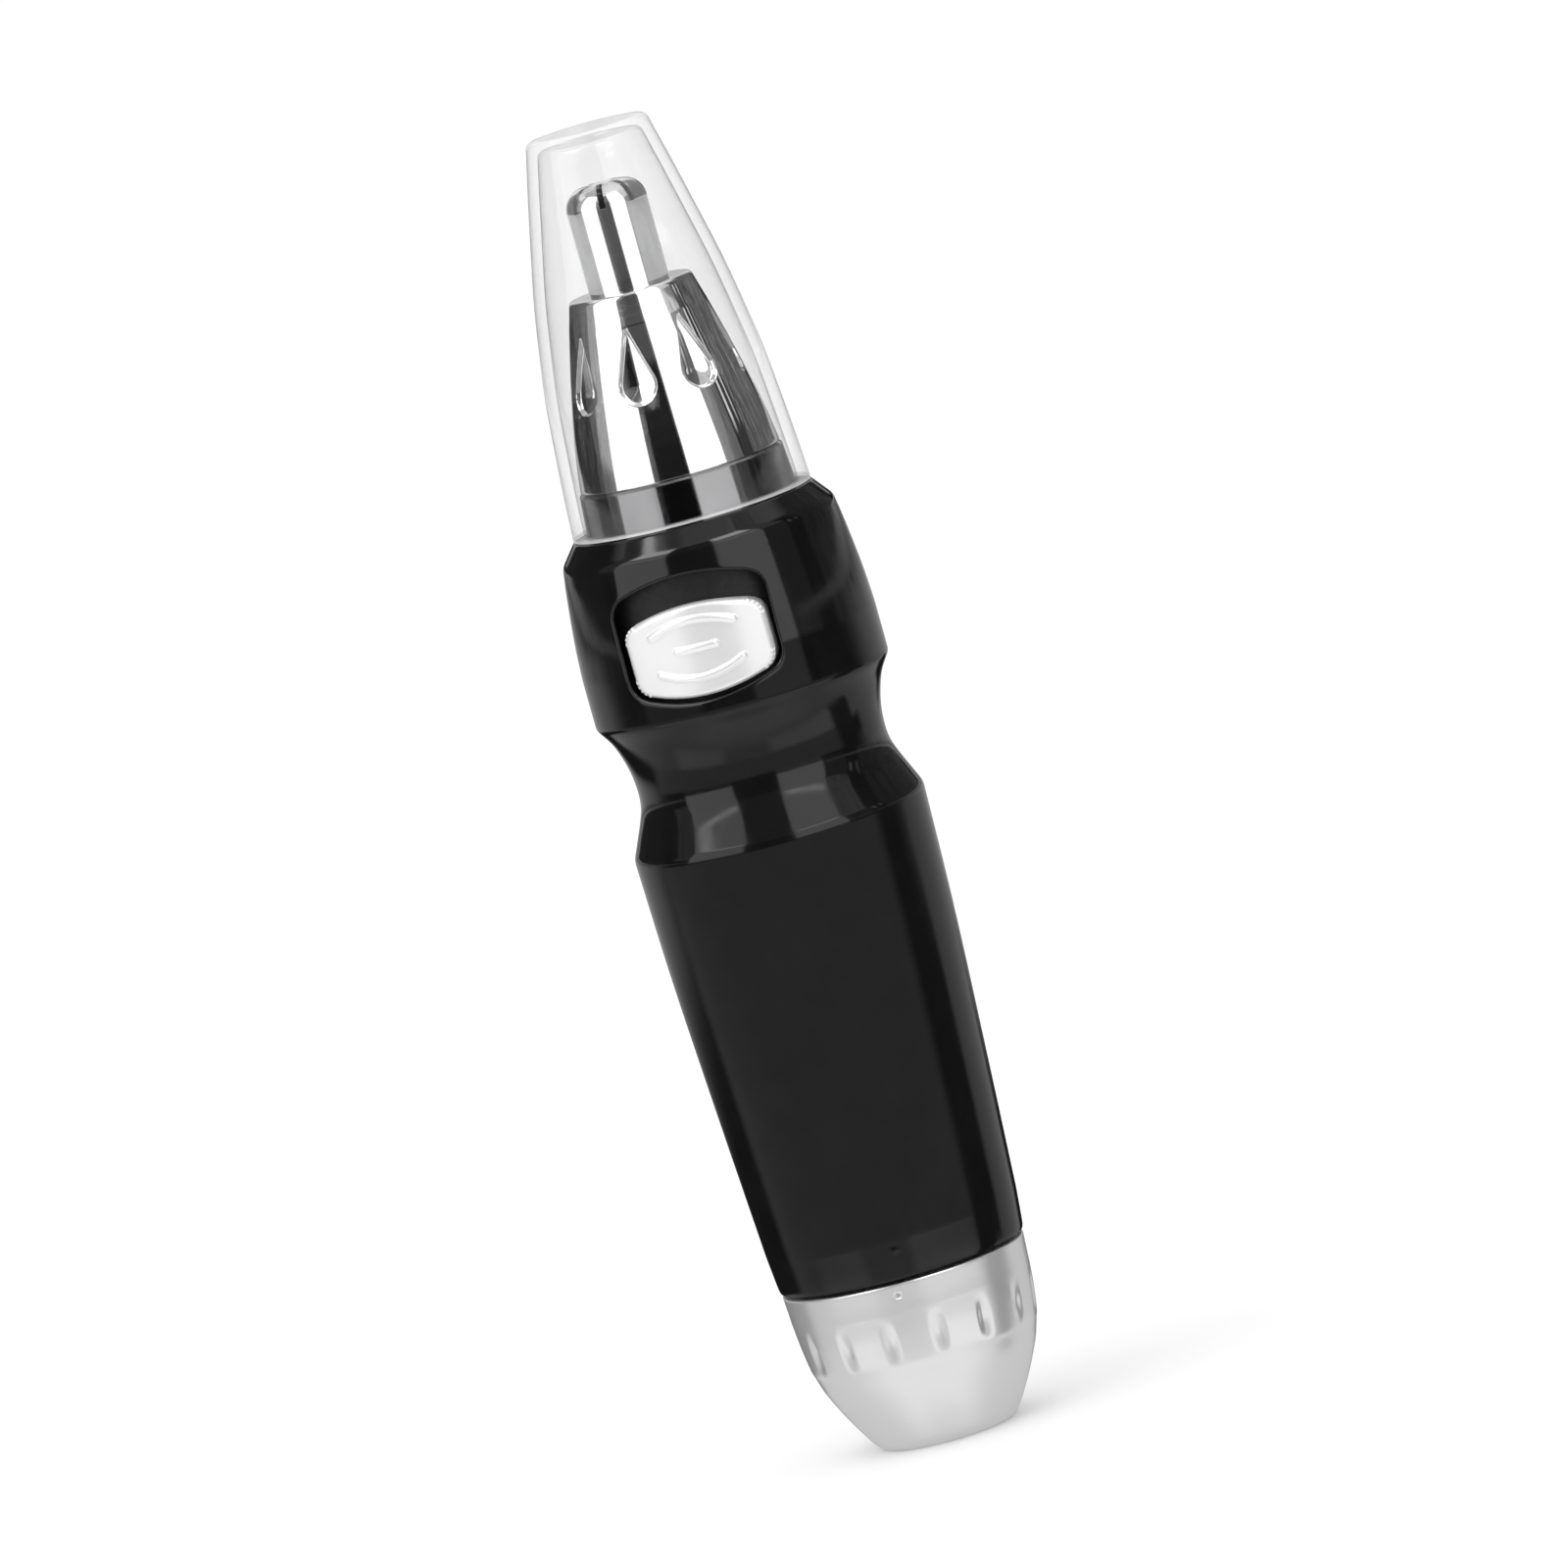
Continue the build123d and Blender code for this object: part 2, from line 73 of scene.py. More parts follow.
# ---- camera ---------------------------------------------------------------------
CAMERA_TURN = math.radians(13.0)
CAMERA_RISE = math.radians(6.9)
CAMERA_ROLL = math.radians(15.6)
CAMERA_DISTANCE = 1.8
VIEW_WIDTH = 0.160
TARGET_HEIGHT = 0.0689
TARGET_ASIDE = 0.0015
SENSOR = 36.0
CLIP_START = 0.05
CLIP_END = 50.0

across = Vector((math.cos(CAMERA_TURN), math.sin(CAMERA_TURN), 0))
towards = Vector((math.sin(CAMERA_TURN), -math.cos(CAMERA_TURN), 0))
back = towards * math.cos(CAMERA_RISE) + Vector((0, 0, math.sin(CAMERA_RISE)))
above = back.cross(across)


def make_camera():
    """A long lens at the height of the switch, rolled so that the trimmer leans in the frame."""
    data = bpy.data.cameras.new("camera")
    data.sensor_width = SENSOR
    data.lens = SENSOR * CAMERA_DISTANCE / VIEW_WIDTH
    data.clip_start = CLIP_START
    data.clip_end = CLIP_END
    camera = bpy.data.objects.new("camera", data)
    bpy.context.scene.collection.objects.link(camera)
    up = above * math.cos(CAMERA_ROLL) + across * math.sin(CAMERA_ROLL)
    right = across * math.cos(CAMERA_ROLL) - above * math.sin(CAMERA_ROLL)
    target = Vector((0, 0, TARGET_HEIGHT)) + across * TARGET_ASIDE
    turn = Matrix((right, up, back)).transposed().to_4x4()
    camera.matrix_world = Matrix.Translation(target + back * CAMERA_DISTANCE) @ turn
    bpy.context.scene.camera = camera


make_camera()


# ---- outlines -------------------------------------------------------------------
SAME_PLACE = 1e-4            # millimetres: points nearer than this are one point


def spline(points, step):
    """Points about step apart along a smooth curve through the given points."""
    p = [np.array(q, float) for q in points]
    p = [2 * p[0] - p[1], *p, 2 * p[-1] - p[-2]]
    found = []
    for a, b, c, d in zip(p, p[1:], p[2:], p[3:]):
        count = max(2, int(math.dist(b, c) / step))
        for t in np.arange(count) / count:
            found.append(
                0.5 * (2 * b + (c - a) * t + (2 * a - 5 * b + 4 * c - d) * t * t
                       + (3 * b - a - 3 * c + d) * t ** 3)
            )
    found.append(p[-2])
    return found


def line(start, end, step=1.0):
    """Points about step apart along a straight line."""
    count = max(1, int(math.dist(start, end) / step))
    start, end = np.array(start), np.array(end)
    return [start + (end - start) * i / count for i in range(count + 1)]


def bend(start, corner, end, t):
    """The point a share t of the way along the curve that turns from start to end at a corner."""
    return (1 - t) ** 2 * start + 2 * t * (1 - t) * corner + t * t * end


def arc(start, middle, end, count):
    """Points along a shallow arc that passes through a middle point."""
    s, m, e = (np.array(q, float) for q in (start, middle, end))
    return [bend(s, 2 * m - (s + e) / 2, e, t) for t in np.linspace(0, 1, count + 1)]


def cut_back(points, length):
    """A run of points with a length taken off its end."""
    points = list(points)
    while len(points) > 2 and math.dist(points[-1], points[-2]) <= length:
        length -= math.dist(points[-1], points[-2])
        points.pop()
    last, before = points[-1], points[-2]
    share = min(0.95, length / math.dist(last, before))
    points[-1] = last + (before - last) * share
    return points


def join(stretches, rounds, closed=False):
    """One outline from stretches that meet end to end, each meeting place rounded by a length."""
    parts = [[np.array(q, float) for q in s] for s in stretches]
    count = len(parts)
    corners = []
    for i, size in enumerate(rounds):
        after = (i + 1) % count
        if after == 0 and not closed:
            break
        corner = parts[i][-1]
        if size > 0:
            parts[i] = cut_back(parts[i], size)
            parts[after] = cut_back(parts[after][::-1], size)[::-1]
        corners.append(corner)
    outline = []
    for i, part in enumerate(parts):
        outline += part
        if i < len(corners) and rounds[i] > 0:
            start, end = part[-1], parts[(i + 1) % count][0]
            for t in (0.2, 0.4, 0.6, 0.8):
                outline.append(bend(start, corners[i], end, t))
    tidy = [outline[0]]
    for q in outline[1:]:
        if math.dist(q, tidy[-1]) > SAME_PLACE:
            tidy.append(q)
    if closed and math.dist(tidy[0], tidy[-1]) < SAME_PLACE:
        tidy.pop()
    return np.array(tidy)


def smooth_step(value, low, high):
    """0 below low, 1 above high, and a smooth rise between."""
    t = np.clip((value - low) / (high - low), 0, 1)
    return t * t * (3 - 2 * t)


# ---- meshes ------------------------------------------------------------------------
MERGE_WITHIN = 2e-6          # metres
SHORTEST_EDGE = 1e-7         # metres


def grid_faces(rows, columns, start=0, wrap_columns=True, wrap_rows=False):
    """Quads over a grid of vertices that is stored row by row."""
    faces = []
    for i in range(rows if wrap_rows else rows - 1):
        a = start + i * columns
        b = start + ((i + 1) % rows) * columns
        for j in range(columns if wrap_columns else columns - 1):
            k = (j + 1) % columns
            faces.append((a + j, a + k, b + k, b + j))
    return faces


def turned(outline, turns, closed, press=None):
    """Vertices and faces of an outline turned about the axis, from the side of the switch round.
    press takes angles, radii and heights and gives how far each vertex sinks towards the axis."""
    angles = np.radians(BUTTON_FACE) + np.arange(turns) * 2 * math.pi / turns
    radii = np.repeat(outline[:, 0:1], turns, axis=1)
    heights = np.repeat(outline[:, 1:2], turns, axis=1)
    if press is not None:
        radii = radii - press(np.repeat(angles[None, :], len(outline), axis=0), radii, heights)
    vertices = np.stack((radii * np.cos(angles), radii * np.sin(angles), heights), axis=2)
    return vertices.reshape(-1, 3), grid_faces(len(outline), turns, wrap_rows=closed)


def make_piece(name, vertices, faces, finish, body, replaces, sharp=35.0):
    """A closed mesh piece, with its finish, the body it rides on and the CAD nodes it stands for.
    Edges that turn by more than sharp degrees stay hard."""
    mesh = bpy.data.meshes.new(name)
    mesh.from_pydata((np.asarray(vertices) * MM).tolist(), [], faces)
    build = bmesh.new()
    build.from_mesh(mesh)
    bmesh.ops.remove_doubles(build, verts=build.verts, dist=MERGE_WITHIN)
    bmesh.ops.dissolve_degenerate(build, edges=build.edges, dist=SHORTEST_EDGE)
    bmesh.ops.recalc_face_normals(build, faces=build.faces)
    build.to_mesh(mesh)
    build.free()
    mesh.shade_smooth()
    mesh.set_sharp_from_angle(angle=math.radians(sharp))
    mesh.materials.append(finish)
    piece = bpy.data.objects.new(name, mesh)
    bpy.context.scene.collection.objects.link(piece)
    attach(piece, body)
    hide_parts(*replaces)


# ---- materials -----------------------------------------------------------------------
NOISE_SPAN = (0.3, 0.7)      # where nearly all of a noise texture's values lie
GRAIN_STRENGTH = 0.6         # how strongly fine grain and turning lines show


def map_range(tree, source, start, end, low, high):
    """A number that goes from low to high as the source goes from start to end."""
    span = tree.nodes.new("ShaderNodeMapRange")
    limits = {"From Min": start, "From Max": end, "To Min": low, "To Max": high}
    for socket, value in limits.items():
        span.inputs[socket].default_value = value
    tree.links.new(source, span.inputs["Value"])
    return span.outputs["Result"]


class Finish:
    """A Principled material whose colour, roughness and relief vary with fixed noise textures."""

    def __init__(self, name, **sockets):
        self.material = bpy.data.materials.new(name)
        self.material.use_nodes = True
        self.tree = self.material.node_tree
        self.shader = self.tree.nodes["Principled BSDF"]
        self.place = self.tree.nodes.new("ShaderNodeTexCoord").outputs["Object"]
        for socket, value in sockets.items():
            self.shader.inputs[socket.replace("_", " ")].default_value = value

    def noise(self, size, detail=3.0, stretch=(1, 1, 1)):
        """A noise whose blobs are about size metres across, drawn out by stretch."""
        scale = self.tree.nodes.new("ShaderNodeMapping")
        scale.inputs["Scale"].default_value = [1 / s for s in stretch]
        self.tree.links.new(self.place, scale.inputs["Vector"])
        texture = self.tree.nodes.new("ShaderNodeTexNoise")
        texture.inputs["Scale"].default_value = 1 / size
        texture.inputs["Detail"].default_value = detail
        self.tree.links.new(scale.outputs["Vector"], texture.inputs["Vector"])
        return texture.outputs["Fac"]

    def roughen(self, source, low, high):
        """The source swings the roughness between two values."""
        value = map_range(self.tree, source, *NOISE_SPAN, low, high)
        self.tree.links.new(value, self.shader.inputs["Roughness"])

    def tint(self, source, dark, light, span=NOISE_SPAN):
        """The source swings the base colour between two colours."""
        ramp = self.tree.nodes.new("ShaderNodeValToRGB")
        for stop, position, color in zip(ramp.color_ramp.elements, span, (dark, light)):
            stop.position = position
            stop.color = (*color, 1)
        self.tree.links.new(source, ramp.inputs["Fac"])
        self.tree.links.new(ramp.outputs["Color"], self.shader.inputs["Base Color"])

    def bump(self, source, depth, strength=1.0):
        """The source as relief, depth metres from its lowest to its highest."""
        node = self.tree.nodes.new("ShaderNodeBump")
        node.inputs["Strength"].default_value = strength
        node.inputs["Distance"].default_value = depth
        self.tree.links.new(source, node.inputs["Height"])
        self.tree.links.new(node.outputs["Normal"], self.shader.inputs["Normal"])


def gloss_black():
    """Deep black polished plastic with a faint moulding ripple and fine handling haze."""
    f = Finish("gloss_black", Roughness=0.08, IOR=1.46)
    f.tint(f.noise(0.004, 4), (0.0042, 0.0042, 0.0044), (0.0062, 0.0062, 0.0065))
    f.roughen(f.noise(0.0012, 6, (1, 1, 4)), 0.05, 0.13)
    f.bump(f.noise(0.006, 1.0), 4e-6)
    return f.material


def collar_black():
    """The collar's dark chrome, which mirrors more than the body's plastic."""
    f = Finish("collar_black", Metallic=1.0)
    f.tint(f.noise(0.003, 4), (0.24, 0.24, 0.245), (0.29, 0.29, 0.295))
    f.roughen(f.noise(0.0015, 5), 0.04, 0.10)
    f.bump(f.noise(0.005, 1.0), 2e-6)
    return f.material


def matte_black():
    """Moulded black plastic with a fine spark-eroded grain."""
    f = Finish("matte_black")
    f.tint(f.noise(0.0006, 5), (0.003, 0.003, 0.0033), (0.009, 0.009, 0.0095))
    f.roughen(f.noise(0.0004, 3), 0.42, 0.6)
    f.bump(f.noise(0.00018, 2), 6e-6, GRAIN_STRENGTH)
    return f.material


def satin_silver(name, metallic, pale):
    """Silver lacquer on plastic: a fine flake in the colour and a soft, even shine."""
    f = Finish(name, Metallic=metallic)
    f.tint(f.noise(0.00012, 1), (pale - 0.012,) * 3, (pale + 0.012,) * 3, (0.35, 0.65))
    f.roughen(f.noise(0.003, 4), 0.22, 0.27)
    f.bump(f.noise(0.008, 1.0), 3e-6)
    return f.material


def chrome_plate():
    """Mirror chrome plating with faint fingerprint haze."""
    f = Finish("chrome_plate", Metallic=1.0)
    f.tint(f.noise(0.003, 4), (0.86, 0.86, 0.865), (0.93, 0.93, 0.935))
    f.roughen(f.noise(0.0012, 6), 0.01, 0.05)
    f.bump(f.noise(0.004, 1.5), 5e-6)
    return f.material


def stainless():
    """Polished steel with very fine turning lines round the axis."""
    f = Finish("stainless", Metallic=0.94, Sheen_Weight=0.9, Sheen_Roughness=0.3)
    f.tint(f.noise(0.002, 4), (0.80, 0.80, 0.81), (0.90, 0.90, 0.91))
    f.roughen(f.noise(0.0004, 4, (6, 6, 0.3)), 0.03, 0.09)
    f.bump(f.noise(0.0006, 1, (8, 8, 0.3)), 1.5e-7, GRAIN_STRENGTH)
    return f.material


def clear_plastic():
    """Clear moulded plastic: it mirrors more at a glancing look, its walls bend a little of what is
    seen through them, and a band of pale diffuse colour along its lower rim is a painted highlight."""
    material = bpy.data.materials.new("clear_plastic")
    material.use_nodes = True
    tree = material.node_tree
    tree.nodes.clear()
    make, link = tree.nodes.new, tree.links.new
    place = make("ShaderNodeTexCoord")

    def blend(share, first, second):
        node = make("ShaderNodeMixShader")
        if isinstance(share, float):
            node.inputs["Fac"].default_value = share
        else:
            link(share, node.inputs["Fac"])
        link(first, node.inputs[1])
        link(second, node.inputs[2])
        return node.outputs[0]

    smudge = make("ShaderNodeTexNoise")
    smudge.inputs["Scale"].default_value = 180
    smudge.inputs["Detail"].default_value = 5
    link(place.outputs["Object"], smudge.inputs["Vector"])
    haze = map_range(tree, smudge.outputs["Fac"], 0.45, 0.75, 0.0, 0.06)
    ripple = make("ShaderNodeBump")
    ripple.inputs["Distance"].default_value = 1.5e-5
    link(smudge.outputs["Fac"], ripple.inputs["Height"])

    through = make("ShaderNodeBsdfTransparent")
    through.inputs["Color"].default_value = (0.995, 0.995, 0.995, 1)
    bent = make("ShaderNodeBsdfGlass")
    bent.inputs["IOR"].default_value = 1.49
    bent.inputs["Roughness"].default_value = 0.02
    bent.inputs["Color"].default_value = (0.97, 0.97, 0.97, 1)
    mirror = make("ShaderNodeBsdfGlossy")
    mirror.inputs["Color"].default_value = (1, 1, 1, 1)
    link(haze, mirror.inputs["Roughness"])
    link(ripple.outputs["Normal"], mirror.inputs["Normal"])
    body = blend(0.035, through.outputs[0], bent.outputs[0])

    # how much is mirrored: a little face on, most of it edge on
    facing = make("ShaderNodeLayerWeight")
    facing.inputs["Blend"].default_value = 0.5
    steep = make("ShaderNodeMath")
    steep.operation = "POWER"
    steep.inputs[1].default_value = 5.0
    link(facing.outputs["Facing"], steep.inputs[0])
    share = map_range(tree, steep.outputs[0], 0, 1, 0.022, 0.78)
    skin = blend(share, body, mirror.outputs[0])

    # painted highlight: pale diffuse colour mixed in along the lower rim stands in for light
    # catching the edge
    rim_highlight_paint = make("ShaderNodeBsdfPrincipled")
    rim_highlight_paint.inputs["Base Color"].default_value = (0.9, 0.9, 0.9, 1)
    rim_highlight_paint.inputs["Roughness"].default_value = 0.25
    height = make("ShaderNodeSeparateXYZ")
    link(place.outputs["Object"], height.inputs[0])
    rim_low, rim_high = (clear_low + 0.1) * MM, (clear_low + 0.35) * MM
    rim = map_range(tree, height.outputs["Z"], rim_low, rim_high, 0.35, 0.0)
    end = make("ShaderNodeOutputMaterial")
    link(blend(rim, skin, rim_highlight_paint.outputs[0]), end.inputs["Surface"])
    return material


def plain_finish(name, dark, light, rough, metallic=0.0, size=0.0008, relief=2e-6,
                 stretch=(1, 1, 1)):
    """A finish for an inner piece: mottled colour, uneven roughness and a fine grain."""
    f = Finish(name, Metallic=metallic)
    f.tint(f.noise(size, 5, stretch), dark, light)
    f.roughen(f.noise(size / 2, 4, stretch), *rough)
    f.bump(f.noise(size / 4, 2, stretch), relief, GRAIN_STRENGTH)
    return f.material


finishes = {
    "gloss_black": gloss_black(),
    "matte_black": matte_black(),
    "satin_silver": satin_silver("satin_silver", 0.74, 0.89),
    "chrome_plate": chrome_plate(),
    "stainless": stainless(),
    "clear_plastic": clear_plastic(),
    "white_nylon": plain_finish(
        "white_nylon", (0.70, 0.69, 0.65), (0.80, 0.79, 0.76), (0.35, 0.5)),
    "spring_steel": plain_finish(
        "spring_steel", (0.42, 0.42, 0.43), (0.58, 0.58, 0.59), (0.2, 0.35), 1.0),
    "core_iron": plain_finish(
        "core_iron", (0.10, 0.10, 0.11), (0.20, 0.20, 0.22), (0.35, 0.55), 1.0,
        0.0012, 2e-5, (20, 20, 0.3)),
    "copper": plain_finish(
        "copper", (0.50, 0.19, 0.08), (0.72, 0.33, 0.16), (0.25, 0.4), 1.0,
        0.0012, 3e-5, (20, 20, 0.25)),
    "motor_steel": plain_finish(
        "motor_steel", (0.45, 0.45, 0.46), (0.62, 0.62, 0.63), (0.25, 0.4), 1.0, 0.003),
    "magnet": plain_finish(
        "magnet", (0.03, 0.03, 0.03), (0.07, 0.07, 0.07), (0.6, 0.8)),
    "brass": plain_finish(
        "brass", (0.55, 0.38, 0.15), (0.70, 0.52, 0.24), (0.2, 0.35), 1.0),
    "nickel": plain_finish(
        "nickel", (0.55, 0.53, 0.48), (0.68, 0.66, 0.61), (0.15, 0.3), 1.0),
    "lead_red": plain_finish(
        "lead_red", (0.35, 0.01, 0.01), (0.5, 0.03, 0.03), (0.35, 0.5)),
    "cell_jacket": plain_finish(
        "cell_jacket", (0.05, 0.13, 0.19), (0.08, 0.18, 0.26), (0.2, 0.35), 0.3, 0.004),
}
for node in frame["record"]["subparts"]:
    materials = frame["nodes"][node["node"]].data.materials
    materials.clear()
    materials.append(finishes[node["material_slot"]])
frame["nodes"]["head_collar"].data.materials[0] = collar_black()


# ---- switch window and button outlines --------------------------------------------------
BOW_POINTS = 160             # along each bowed edge


def bowed_outline(width, low, high, side, cut):
    """A rounded shape with straight sides and bowed top and bottom edges, as (x, z) points."""
    half = width / 2
    middle = (low + high) / 2
    upper = middle + side / 2
    lower = middle - side / 2
    stretches = [
        line((half, lower), (half, upper), 0.1),
        arc((half, upper), (0, high), (-half, upper), BOW_POINTS),
        line((-half, upper), (-half, lower), 0.1),
        arc((-half, lower), (0, low), (half, lower), BOW_POINTS),
    ]
    return join(stretches, [cut] * 4, closed=True)


def outward(outline):
    """Unit normals of a closed outline that runs anticlockwise."""
    ahead = np.roll(outline, -1, axis=0) - np.roll(outline, 1, axis=0)
    normal = np.stack((ahead[:, 1], -ahead[:, 0]), axis=1)
    return normal / np.linalg.norm(normal, axis=1)[:, None]


def at_bearings(outline, centre, bearings):
    """Points and normals of a star-shaped outline at bearings from its centre."""
    own = np.unwrap(np.arctan2(outline[:, 1] - centre, outline[:, 0]))
    normals = outward(outline)
    turn = 2 * math.pi
    own = np.concatenate((own - turn, own, own + turn))
    points = np.concatenate((outline, outline, outline))
    normals = np.concatenate((normals, normals, normals))
    pick = [np.interp(bearings, own, column) for column in (*points.T, *normals.T)]
    return np.stack(pick[:2], axis=1), np.stack(pick[2:], axis=1)


# ---- body shell -----------------------------------------------------------------------
SHELL_TURNS = 384
WINDOW_COLUMNS = 45
WINDOW_WIDTH = 16.2
WINDOW_LOW = 81.0
WINDOW_HIGH = 93.9
WINDOW_CORNER = (9.2, 1.6)          # height between the corner points, length cut off each corner
WINDOW_LIP = 0.35
CAVITY_RADIUS = 13.2
PATCH_LOW = 80.35            # the band of rows that the window is let into
PATCH_HIGH = 94.85
PATCH_ROWS = 45
CREASE_HEIGHT = 65.4
WAIST_TOP = 79.4
SHOULDER_HEIGHT = 96.3
DOT_TURN = 11                # degrees round from the middle of the switch
DOT_HEIGHT = 21.4
DOT_RISE = 0.09
DOT_EDGE = (0.22, 0.42)      # from the dot's middle: where it starts to fall, and where it ends
OUTER_SKIN = 12.4            # at the dot's height only the outer skin is farther out than this

barrel_curve = np.array(
    line((barrel_radius, WAIST_TOP), (barrel_radius, 84.6), 0.4)
    + spline([(barrel_radius, 84.6), (15.28, 87.8), (15.02, 90.65), (14.66, 93.8),
              (14.3, SHOULDER_HEIGHT)], 0.3)[1:]
)


def barrel_at(height):
    """The upper barrel's outer radius at a height."""
    return np.interp(height, barrel_curve[:, 1], barrel_curve[:, 0])


def shell_marks(angles, radii, heights):
    """A small raised index dot near the shell's lower edge."""
    aside = (angles - math.radians(BUTTON_FACE + DOT_TURN)) * radii
    away = np.hypot(aside, heights - DOT_HEIGHT)
    return np.where(radii > OUTER_SKIN, -DOT_RISE * (1 - smooth_step(away, *DOT_EDGE)), 0)


def body_shell():
    patch_rows = np.linspace(PATCH_LOW, PATCH_HIGH, PATCH_ROWS)
    below = join(
        [
            line((11.2, shell_low), (12.75, shell_low)),
            spline([(12.75, shell_low), (12.95, 18.75), (13.3, 22.4)], 0.15),
            spline([(13.3, 22.4), (14.15, 37.3), (14.92, 52.4), (15.3, CREASE_HEIGHT)], 0.6),
            line((15.3, CREASE_HEIGHT), (13.75, 68.9), 0.3),
            spline([(13.75, 68.9), (13.22, 70.5), (13.08, 72.3), (13.35, 74.7), (14.2, 77.4),
                    (barrel_radius, WAIST_TOP)], 0.3),
            line((barrel_radius, WAIST_TOP), (barrel_radius, PATCH_LOW), 0.3),
        ],
        [0.2, 0, 0.5, 0.7, 0.35],
    )
    above_patch = join(
        [
            line((barrel_at(PATCH_HIGH), PATCH_HIGH), (14.3, SHOULDER_HEIGHT), 0.3),
            line((14.3, SHOULDER_HEIGHT), (12.7, 98.3), 0.3),
            line((12.7, 98.3), (12.6, shell_top)),
            line((12.6, shell_top), (11.05, shell_top)),
            line((11.05, shell_top), (11.05, 95.8)),
            line((11.05, 95.8), (CAVITY_RADIUS, 95.0)),
            line((CAVITY_RADIUS, 95.0), (CAVITY_RADIUS, PATCH_HIGH)),
        ],
        [0.45, 0.12, 0.04, 0.1, 0, 0],
    )
    inner = join(
        [
            line((CAVITY_RADIUS, PATCH_LOW), (CAVITY_RADIUS, 80.2)),
            line((CAVITY_RADIUS, 80.2), (11.6, 77.5)),
            line((11.6, 77.5), (11.6, 67.5)),
            line((11.6, 67.5), (13.3, 63.0)),
            line((13.3, 63.0), (11.4, 29.0), 4),
            line((11.4, 29.0), (11.2, 29.0)),
            line((11.2, 29.0), (11.2, shell_low), 4),
        ],
        [0] * 6,
    )
    outer_rows = np.stack((barrel_at(patch_rows), patch_rows), axis=1)
    inner_rows = np.stack((np.full(len(patch_rows), CAVITY_RADIUS), patch_rows[::-1]), axis=1)
    outline = np.concatenate((below[:-1], outer_rows, above_patch[1:-1], inner_rows, inner[1:-1]))
    vertices, faces = turned(outline, SHELL_TURNS, True, shell_marks)
    # leave out the faces in front of the window, on both skins
    outer_start = len(below) - 1
    inner_start = outer_start + len(outer_rows) + len(above_patch) - 2
    span = len(patch_rows) - 1
    kept = []
    for index, face in enumerate(faces):
        row, column = divmod(index, SHELL_TURNS)
        near = column < WINDOW_COLUMNS or column >= SHELL_TURNS - WINDOW_COLUMNS
        outer_hole = outer_start <= row < outer_start + span
        inner_hole = inner_start <= row < inner_start + span
        if not (near and (outer_hole or inner_hole)):
            kept.append(face)
    rings = window_rings(patch_rows)
    start = len(vertices)
    loop = rings.shape[1]
    kept += grid_faces(len(rings), loop, start)
    vertices = np.concatenate((vertices, rings.reshape(-1, 3)))
    make_piece("shell", vertices, kept, finishes["gloss_black"], "body",
               ["body_shell"])


def on_cylinder(flat, radius):
    """Places (x, z) points in front of the axis, on the switch's side, at a radius from it."""
    return np.stack((flat[:, 0], -np.sqrt(radius ** 2 - flat[:, 0] ** 2), flat[:, 1]), axis=1)


def window_rings(patch_rows):
    """Loops of vertices from the skin round the window, over its rounded lip, in to the cavity."""
    step = 2 * math.pi / SHELL_TURNS
    columns = np.arange(-WINDOW_COLUMNS, WINDOW_COLUMNS + 1) * step
    low_edge = [(a, patch_rows[0]) for a in columns[:-1]]
    right_edge = [(columns[-1], z) for z in patch_rows[:-1]]
    top_edge = [(a, patch_rows[-1]) for a in columns[:0:-1]]
    left_edge = [(columns[0], z) for z in patch_rows[:0:-1]]
    edge = np.array(low_edge + right_edge + top_edge + left_edge)
    angle, height = edge.T
    middle = (WINDOW_LOW + WINDOW_HIGH) / 2
    outer = np.stack((barrel_at(height) * np.sin(angle), height), axis=1)
    inner = np.stack((CAVITY_RADIUS * np.sin(angle), height), axis=1)
    bearings = np.arctan2(outer[:, 1] - middle, outer[:, 0])
    outline = bowed_outline(WINDOW_WIDTH, WINDOW_LOW, WINDOW_HIGH, *WINDOW_CORNER)
    wall, normal = at_bearings(outline, middle, bearings)
    lip = wall + normal * WINDOW_LIP

    def on_surface(flat, depth, radius=None):
        """Places (x, z) points on the barrel, or on a plain radius, some depth below it."""
        return on_cylinder(flat, (barrel_at(flat[:, 1]) if radius is None else radius) - depth)

    rings = []
    for t in np.linspace(0, 1, 9)[:-1]:
        rings.append(on_surface(outer + (lip - outer) * t, 0))
    for t in np.radians(np.linspace(0, 90, 7)):
        flat = wall + normal * WINDOW_LIP * (1 - math.sin(t))
        rings.append(on_surface(flat, WINDOW_LIP * (1 - math.cos(t))))
    rim = barrel_at(wall[:, 1]) - WINDOW_LIP
    for t in (0.33, 0.67, 1.0):
        rings.append(on_surface(wall, 0, rim + (CAVITY_RADIUS - rim) * t))
    for t in np.linspace(0, 1, 5)[1:]:
        rings.append(on_surface(wall + (inner - wall) * t, 0, CAVITY_RADIUS))
    return np.array(rings)


body_shell()


# ---- switch button --------------------------------------------------------------------
button_low, button_high = height_of("switch_button", 0), height_of("switch_button", 1)
button_middle = (button_low + button_high) / 2
BUTTON_WIDTH = 14.9
BUTTON_CORNER = (6.5, 1.5)
BUTTON_RADIUS = 15.1
BUTTON_BACK = 13.4
BUTTON_EDGE = 0.55
RIB_HALF_WIDTH = 0.42
RIB_HEIGHT = 0.3
RIB_POINTS = 60              # along each bowed rib
BUTTON_COLUMNS = 361
BUTTON_ROWS = 171
ROW_CROWDING = 0.35          # how far the rows leave an even spacing for one that favours the edges
COLUMN_REACH = 0.9995        # the outer columns stop just short of the sides, which are upright
STEM_HALF_WIDTH = 2.3
STEM_DEPTHS = (-14, -11.8)
STEM_HEIGHTS = (-2.2, 1.2)   # from the button's middle
